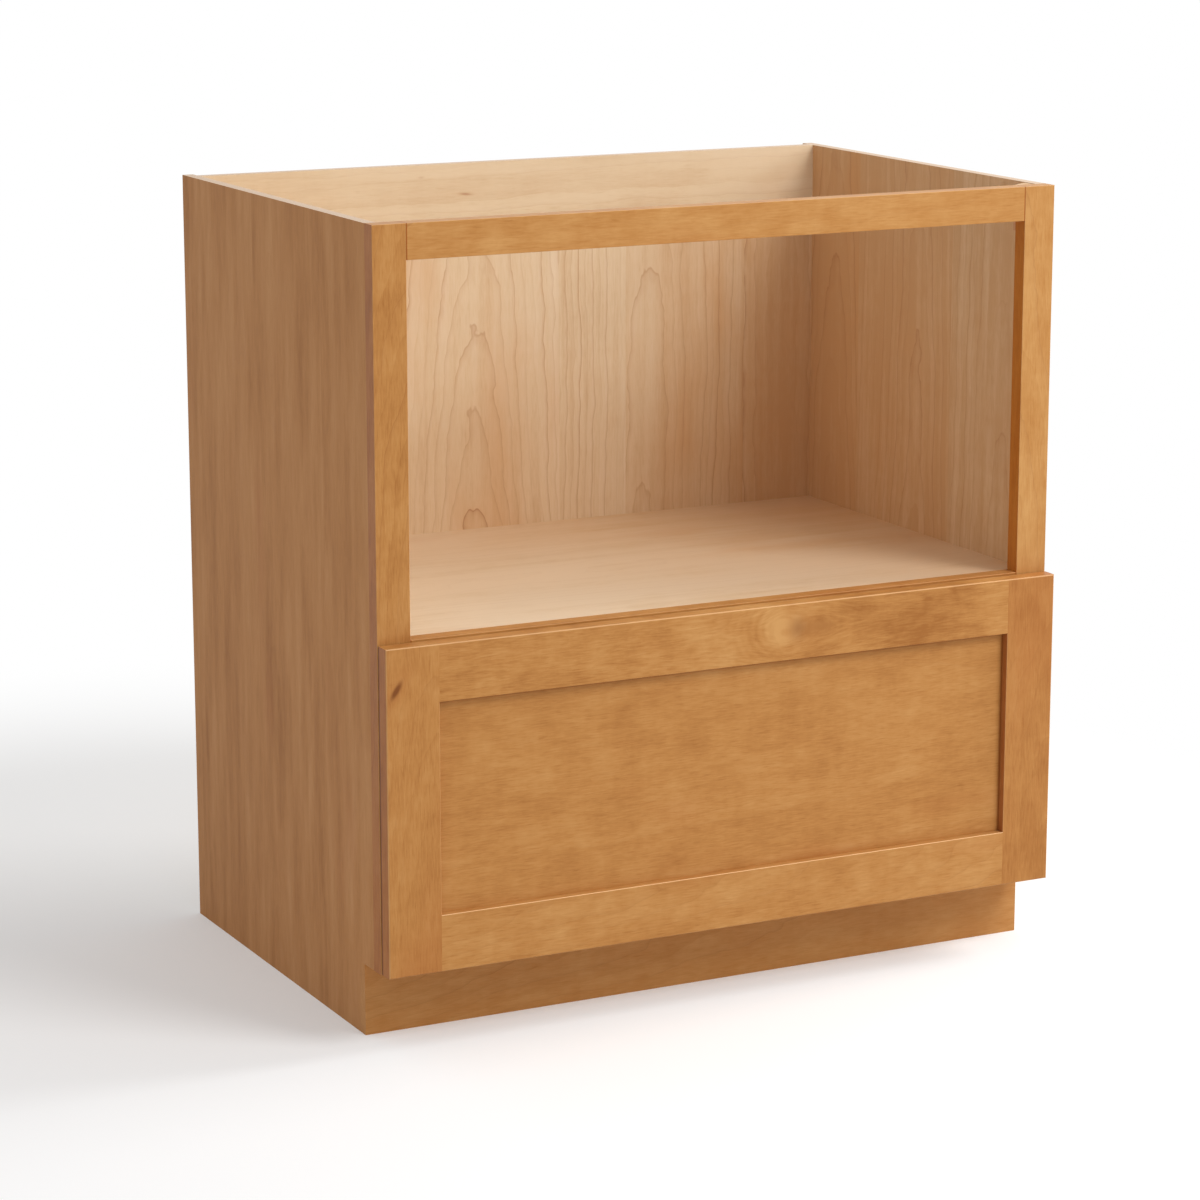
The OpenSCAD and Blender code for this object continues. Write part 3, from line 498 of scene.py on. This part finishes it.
boards = {
    "side_panel_left": {
        **sidePanel, "leaves": veneer(0.19, -0.33, 3, rise=0.03), "innerDirection": (1.0, 0.0, 0.0),
        "inner": {**sideInside, "leaves": veneer(0.26, -0.45, 4)}},
    "side_panel_right": {
        **sidePanel, "leaves": veneer(0.20, -0.38, 5, rise=0.03),
        # The inner face's leaves are darker and redder than the left panel's: painted shade on a
        # face that looks away from the lamps
        "innerDirection": (-1.0, 0.0, 0.0), "inner": {**sideInside, "leaves": (
            {"pith": (-0.20, 0.035), "rise": 0.07, "ring": 0.010, "tone": -0.20, "red": 0.16},
            {"from": -0.09, "pith": (-0.01, 0.04), "rise": 0.03, "ring": 0.007,
             "tone": -0.26, "red": 0.34},
            {"from": 0.12, "pith": (0.18, 0.05), "rise": 0.06, "ring": 0.009,
             "tone": -0.26, "red": 0.42})}},
    "back_panel": {
        "finish": "natural", "plies": 9, "waves": 1.25, "lines": 1.15,
        # The last shade, along the back panel, makes its lower part redder: painted warm bounce
        # light
        "shades": ({"place": 0.186, "half": 0.014, "tone": -0.06, "red": 0.14},
                   {"place": 0.305, "half": 0.008, "tone": -0.10, "red": 0.14},
                   {"way": "along", "place": 0.20, "half": 0.10, "tone": 0.03, "red": -0.12}),
        "leaves": (
            {"pith": (-0.31, 0.04), "rise": 0.04, "ring": 0.009, "red": 0.17},
            {"from": -0.16, "pith": (-0.057, 0.0284), "rise": 0.13, "ring": 0.010, "red": 0.17},
            {"from": 0.052, "pith": (-0.02, 0.05), "rise": 0.01, "ring": 0.0085, "red": 0.17},
            {"from": 0.142, "pith": (0.17, 0.0453), "rise": 0.03, "ring": 0.0085,
             "tone": -0.02, "red": 0.27},
            {"from": 0.305, "pith": (0.36, 0.03), "rise": 0.01, "ring": 0.015,
             "tone": -0.02, "red": 0.27})},
    "hanging_rail": {
        **levelGrain, "finish": "natural", "wander": 0.02, "plies": 9, "lines": 0.35,
        "strength": 0.45,
        "shades": ({"way": "along", "place": 0.28, "half": 0.18, "tone": 0.09, "red": -0.10},),
        "leaves": ({"pith": (0.10, 0.05), "rise": 0.03, "ring": 0.012, "red": -0.10},),
        "knots": (
            {"along": -0.070, "across": 0.0079, "length": 0.0125, "width": 0.0022,
             "slant": -0.1, "dark": 0.8},
            {"along": -0.127, "across": 0.030, "length": 0.006, "width": 0.0020, "dark": 0.35})},
    "microwave_deck": {
        **flatGrain, "finish": "natural", "plies": 13, "lines": 0.25, "strength": 1.7,
        "narrowness": 0.5, "clouds": 1.9, "wander": 0.10,
        # The shades make the deck darker and redder towards the back and the right; the two along
        # it paint the shade and warm bounce light of the right-hand corner
        "shades": ({"place": -0.10, "half": 0.08, "tone": -0.04, "red": 0.08},
                   {"place": 0.08, "half": 0.06, "tone": -0.05, "red": 0.10},
                   {"way": "along", "place": -0.05, "half": 0.25, "tone": -0.05, "red": 0.26},
                   {"way": "along", "place": 0.33, "half": 0.20, "tone": -0.06, "red": 0.28}),
        "leaves": ({"pith": (-0.02, 0.05), "rise": 0.05, "ring": 0.012,
                    "tone": 0.33, "red": 0.05},)},
    "cabinet_floor": {
        **flatGrain, "finish": "natural", "plies": 9, "leaves": veneer(0.24, -0.40, 6)},
    "toe_kick_board": {**levelGrain, "leaves": ({"tone": 0.15, "red": 0.24},)},
    "toe_kick_backer": {**levelGrain, "finish": "raw"},
    "stile_left": {
        "lines": 1.2, "wearAndHighlight": 0.4,
        "leaves": ({"pith": (0.045, 0.04), "rise": 0.16, "ring": 0.010},)},
    # Its narrow side that faces the left gets painted shade
    "stile_right": {
        "wearAndHighlight": 0.4, "leftSideShade": (254, 238, 172),
        "leaves": ({"pith": (-0.03, 0.06), "rise": 0.07, "ring": 0.008,
                    "tone": 0.13, "red": -0.25},)},
    "top_rail": {
        **levelGrain, "wearAndHighlight": 0.4, "lines": 1.4, "joint": frameOpening,
        "leaves": ({"tone": 0.10, "rise": 0.05},)},
    "middle_rail": {**levelGrain, "wearAndHighlight": 0.25, "joint": frameOpening},
    "bottom_rail": {**levelGrain, "wearAndHighlight": 0.4, "joint": frameOpening},
    "corner_block_left": {"finish": "raw"},
    "corner_block_right": {"finish": "raw"},
    "slide_spacer_left": {**runnerGrain, "finish": "raw"},
    "slide_spacer_right": {**runnerGrain, "finish": "raw"},
    # The drawer front's stiles get painted shade on their narrow sides towards the gap behind them
    "drawer_front_stile_left": {
        "gapShade": True, "leaves": ({"red": 0.05},),
        "knots": ({"along": 0.1328, "across": -0.0192, "length": 0.0147, "width": 0.0042,
                   "slant": 0.57, "dark": 1.2, "bend": 0.8, "pull": 0.8},)},
    "drawer_front_stile_right": {"gapShade": True, "leaves": ({"tone": -0.04, "red": 0.12},)},
    "drawer_front_top_rail": {
        **levelGrain, "lines": 0.5, "strength": 1.3, "clouds": 1.3,
        "leaves": ({"tone": -0.01, "red": -0.08},),
        "knots": (
            {"along": 0.060, "across": 0.006, "length": 0.027, "width": 0.022,
             "pale": 0.19, "bend": 1.0, "pull": 2.0, "ripples": 3.0},
            {"along": 0.080, "across": 0.003, "length": 0.017, "width": 0.020, "dark": 0.58},
            {"along": 0.108, "across": 0.003, "length": 0.026, "width": 0.015,
             "dark": 0.44, "bend": 0.8, "pull": 1.0},
            {"length": 0.070, "width": 0.045, "pale": 0.11},
            {"along": 0.230, "length": 0.090, "width": 0.060, "pale": -0.12})},
    # Its rounded top edge gets a strong painted highlight
    "drawer_front_bottom_rail": {
        **levelGrain, "wearAndHighlight": 1.0, "leaves": ({"tone": 0.06, "red": -0.07},)},
    # The panel gets painted shade along its frame's top and side edges
    "drawer_front_panel": {
        **levelGrain, "lines": 0.5, "clouds": 0.8, "leaves": ({"rise": 0.06, "red": -0.06},),
        "borderShade": {"side": 0.35125, "top": 0.11615}},
    "drawer_side_left": {**runnerGrain, "finish": "natural"},
    "drawer_side_right": {**runnerGrain, "finish": "natural"},
    "drawer_box_front": {**levelGrain, "finish": "natural"},
    "drawer_box_back": {**levelGrain, "finish": "natural"},
    "drawer_bottom": {
        **flatGrain, "finish": "natural", "plies": 5, "leaves": veneer(0.24, -0.40, 8)},
}


def setMaterial(node, material):
    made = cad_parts[node]
    if not made.material_slots:
        made.data.materials.append(material)
    for slot in made.material_slots:
        slot.material = material


for seed, (node, grain) in enumerate(boards.items(), 1):
    setMaterial(node, woodMaterial(node, {**plainGrain, **grain}, float(seed)))
print("wood on", len(boards), "boards")


steelLook = {
    "colour": paint(196, 198, 201), "shade": paint(160, 163, 168), "roughness": 0.30,
    "marks": ((900.0, 6.0, 900.0), 2.0, 0.6),   # left along the slide by the rolls
    "bloom": ((60.0, 60.0, 60.0), 3.0, 0.6),
    "markTone": 0.8, "bloomTone": 1.2, "markRoughness": 0.25, "bloomRoughness": 0.20,
    "relief": 0.00004,
}


# Zinc on rolled steel: long fine marks along the slide under a faint bloom of zinc crystals
def steelMaterial(look):
    material, start = newMaterial("zinc steel")
    position = start.node("ShaderNodeTexCoord", output="Object")
    marks, bloom = cloud(position, *look["marks"]), cloud(position, *look["bloom"])
    colour = blendColour(bloom * look["bloomTone"] + marks * look["markTone"] + 0.5,
                         look["shade"], look["colour"])
    roughness = marks * look["markRoughness"] + bloom * look["bloomRoughness"] + look["roughness"]
    endMaterial(start, {"Base Color": colour, "Metallic": 1.0, "Roughness": roughness},
                marks, look["relief"])
    return material


rubberLook = {
    "colour": paint(226, 228, 222), "shade": paint(205, 208, 200), "clearness": 0.5, "index": 1.45,
    "bloom": ((300.0, 300.0, 300.0), 2.0, 0.5), "bloomTone": (0.8, 0.4),
    "roughness": 0.34, "bloomRoughness": 0.2, "relief": 0.00005,
}


# Clear rubber, half seen through, under a faint bloom
def rubberMaterial(look):
    material, start = newMaterial("clear rubber")
    position = start.node("ShaderNodeTexCoord", output="Object")
    bloom = cloud(position, *look["bloom"])
    contrast, level = look["bloomTone"]
    colour = blendColour(bloom * contrast + level, look["colour"], look["shade"])
    endMaterial(start, {"Base Color": colour,
                        "Roughness": bloom * look["bloomRoughness"] + look["roughness"],
                        "Transmission Weight": look["clearness"], "IOR": look["index"]},
                bloom, look["relief"])
    return material


steel = steelMaterial(steelLook)
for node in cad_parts:
    if "slide_" in node and "member" in node or "ball_cage" in node:
        setMaterial(node, steel)
setMaterial("drawer_bumpers", rubberMaterial(rubberLook))
print("steel and rubber done")


# Lengths in metres. The slide screws sit flush in their holes, and the front screws stand proud.
screws = {
    "slide": {"radius": 0.0022, "dome": 0.0, "depth": 0.0010, "cross": 0.0013,
              "crossWidth": 0.00038, "crossDepth": 0.0007, "rim": 0.0001},
    "front": {"radius": 0.0045, "dome": 0.0011, "depth": 0.0014, "cross": 0.0021,
              "crossWidth": 0.00055, "crossDepth": 0.0011, "rim": 0.0006},
    "steps": 40, "topRings": 16, "rimRings": 4,
    "firstRing": 0.06, "lastRing": 0.5,         # shares of the radius
    "crossEnd": 1.25, "crossSlope": 0.4,        # where the recess ends, and how soft its sides are
    "turn": 0.9,                                # radians from one cross to the next
    "slideInset": 0.037, "web": 0.0012, "flush": 0.0001,
    "frontAcross": 0.250, "frontHeights": (0.045, 0.185),
}


# One screw head that faces +Z: rings of points run from the middle of the top, out and over a
# rounded rim, down the side and in to the middle of the underside. The top's height is
# dome times (1 - (r / radius) ** 2), less a cross recess whose arms have soft edges.
def screwShape(look):
    steps = screws["steps"]
    angle = np.linspace(0.0, 2 * np.pi, steps, endpoint=False)
    inner = look["radius"] - look["rim"]
    flat = np.linspace(screws["firstRing"], 1.0, screws["topRings"]) * inner
    bend = np.linspace(0.0, np.pi / 2, screws["rimRings"] + 1)[1:]
    radius = np.concatenate([flat, inner + look["rim"] * np.sin(bend),
                             [look["radius"], look["radius"] * screws["lastRing"]]])
    drop = np.concatenate([0 * flat, look["rim"] * (1 - np.cos(bend)),
                           [look["depth"], look["depth"]]])
    x, y = np.outer(radius, np.cos(angle)), np.outer(radius, np.sin(angle))
    arm = np.minimum(np.maximum(abs(x) / look["crossWidth"], abs(y) / look["cross"]),
                     np.maximum(abs(y) / look["crossWidth"], abs(x) / look["cross"]))
    recess = np.clip((screws["crossEnd"] - arm) / screws["crossSlope"], 0.0, 1.0)
    top = np.arange(len(radius))[:, None] < len(flat)
    dome = look["dome"] * (1 - np.minimum(radius / inner, 1.0)[:, None] ** 2)
    z = np.where(top, dome - recess * look["crossDepth"], dome - drop[:, None])
    ends = np.array([[0.0, 0.0, look["dome"] - look["crossDepth"]], [0.0, 0.0, -look["depth"]]])
    points = np.concatenate([np.stack([x, y, z], -1).reshape(-1, 3), ends])

    ring, here = np.meshgrid(np.arange(len(radius) - 1), np.arange(steps), indexing="ij")
    after = (here + 1) % steps
    quads = np.stack([ring * steps + here, (ring + 1) * steps + here,
                      (ring + 1) * steps + after, ring * steps + after], -1).reshape(-1, 4)
    here, after = here[0], after[0]
    last, count = (len(radius) - 1) * steps, len(radius) * steps
    fans = np.concatenate([np.stack([here * 0 + count, here, after], -1),
                           np.stack([here * 0 + count + 1, last + after, last + here], -1)])
    return points, quads, fans


def addObject(name, data):
    made = bpy.data.objects.new(name, data)
    bpy.context.scene.collection.objects.link(made)
    return made


# Several screws of one kind as one piece. Each place is the middle of a head and the way it faces.
def makeScrews(name, look, places, body):
    points, quads, fans = screwShape(look)
    allPoints, faces = [], []
    for number, (place, facingWay) in enumerate(places):
        ahead = np.array(facingWay, float)
        turn = screws["turn"] * number
        side = np.cross(ahead, axes["z"])
        right = side * math.cos(turn) + np.cross(ahead, side) * math.sin(turn)
        turned = np.stack([right, np.cross(ahead, right), ahead])
        allPoints.append(points @ turned + np.array(place))
        first = number * len(points)
        faces += (quads + first).tolist() + (fans + first).tolist()
    mesh = bpy.data.meshes.new(name)
    mesh.from_pydata(np.concatenate(allPoints).tolist(), [], faces)
    mesh.materials.append(steel)
    made = addObject(name, mesh)
    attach(made, body)


for side, outwards in (("left", -1.0), ("right", 1.0)):
    for member, faces in (("cabinet", -outwards), ("drawer", outwards)):
        low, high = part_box("slide_" + member + "_member_" + side)
        x = (high.x if faces < 0 else low.x) + faces * (screws["web"] - screws["flush"])
        middle = (low.z + high.z) / 2
        rows = (low.y + screws["slideInset"], (low.y + high.y) / 2, high.y - screws["slideInset"])
        makeScrews("slide_screws_" + member + "_" + side, screws["slide"],
                   [((x, y, middle), (faces, 0.0, 0.0)) for y in rows], member)
low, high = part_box("drawer_box_front")
frontY = high.y + screws["front"]["depth"]
makeScrews("drawer_front_screws", screws["front"],
           [((x, frontY, low.z + z), axes["y"])
            for x in (-screws["frontAcross"], screws["frontAcross"])
            for z in screws["frontHeights"]], "drawer")
print("screws done")


floorSettings = {
    "size": 24.0, "colour": (0.80, 0.80, 0.80, 1.0),
    "lift": 0.19,       # light that the camera sees on top of what the floor reflects
    "middle": (-0.40, 0.10, 0.0), "fade": (0.8, 1.5),   # the floor fades to white between those
}

worldSettings = {"fill": 0.585, "colour": (1.0, 1.0, 1.0, 1.0)}


# 1 for what the camera sees, also in metal and through rubber, and 0 for what lights the object
def seenStraight(start):
    seen = [start.node("ShaderNodeLightPath", output=ray)
            for ray in ("Is Camera Ray", "Is Glossy Ray", "Is Transmission Ray")]
    return start.math("MINIMUM", seen[0] + seen[1] + seen[2], 1.0)


def makeFloor(settings):
    half = settings["size"] / 2
    mesh = bpy.data.meshes.new("floor")
    mesh.from_pydata([(-half, -half, 0), (half, -half, 0), (half, half, 0), (-half, half, 0)],
                     [], [(0, 1, 2, 3)])
    floor = addObject("floor", mesh)
    material, start = newMaterial("floor")
    diffuse = start.node("ShaderNodeBsdfDiffuse", {}, {"Color": settings["colour"]})
    plain = seenStraight(start)
    lift = start.node("ShaderNodeEmission", {}, {"Strength": plain * settings["lift"]})
    near = start.node("ShaderNodeAddShader", {}, {0: diffuse, 1: lift})
    white = start.node("ShaderNodeEmission", {}, {"Strength": 1.0})
    position = start.node("ShaderNodeTexCoord", output="Object")
    away = start.node("ShaderNodeVectorMath", {"operation": "DISTANCE"},
                      {0: position, 1: settings["middle"]}, 1)
    mixed = start.node("ShaderNodeMixShader", {},
                       {0: away.step(*settings["fade"]) * plain, 1: near, 2: white})
    start.node("ShaderNodeOutputMaterial", {}, {"Surface": mixed})
    mesh.materials.append(material)


def makeWorld(settings):
    world = bpy.data.worlds.new("studio")
    bpy.context.scene.world = world
    world.use_nodes = True
    world.node_tree.nodes.clear()
    start = Wire(world.node_tree)
    strength = seenStraight(start) * (1.0 - settings["fill"]) + settings["fill"]
    back = start.node("ShaderNodeBackground", {},
                      {"Color": settings["colour"], "Strength": strength})
    start.node("ShaderNodeOutputWorld", {}, {"Surface": back})


lamps = {
    "key": {"place": (1.75, -2.88, 3.25), "size": 2.0, "watts": 86.0},
    "side": {"place": (3.4, -0.4, 2.2), "size": 1.5, "watts": 80.0},
}
lampAim = (0.0, 0.0, 0.45)


def placeAndTurn(made, place, ahead):
    made.location = place
    made.rotation_mode = "QUATERNION"
    made.rotation_quaternion = ahead.to_track_quat("-Z", "Y")


def makeLamps(settings):
    for name, lamp in settings.items():
        data = bpy.data.lights.new(name, "AREA")
        data.shape, data.size, data.energy = "DISK", lamp["size"], lamp["watts"]
        placeAndTurn(addObject(name, data), lamp["place"], Vector(lampAim) - Vector(lamp["place"]))


cameraSettings = {
    "place": (-1.9265, -3.7537, 1.3300),   # to the left of the front
    "yaw": 0.46955,                        # radians, turned to the right
    "pitch": 0.21814,                      # radians, looking down
    "lens": 112.84, "sensor": 36.0,        # mm
}


def makeCamera(settings):
    data = bpy.data.cameras.new("camera")
    data.lens, data.sensor_width = settings["lens"], settings["sensor"]
    made = addObject("camera", data)
    yaw, pitch = settings["yaw"], settings["pitch"]
    ahead = Vector((math.sin(yaw) * math.cos(pitch), math.cos(yaw) * math.cos(pitch),
                    -math.sin(pitch)))
    placeAndTurn(made, settings["place"], ahead)
    bpy.context.scene.camera = made


makeFloor(floorSettings)
makeWorld(worldSettings)
makeLamps(lamps)
makeCamera(cameraSettings)
bpy.context.scene.view_settings.view_transform = "Standard"
print("floor, light and camera done")
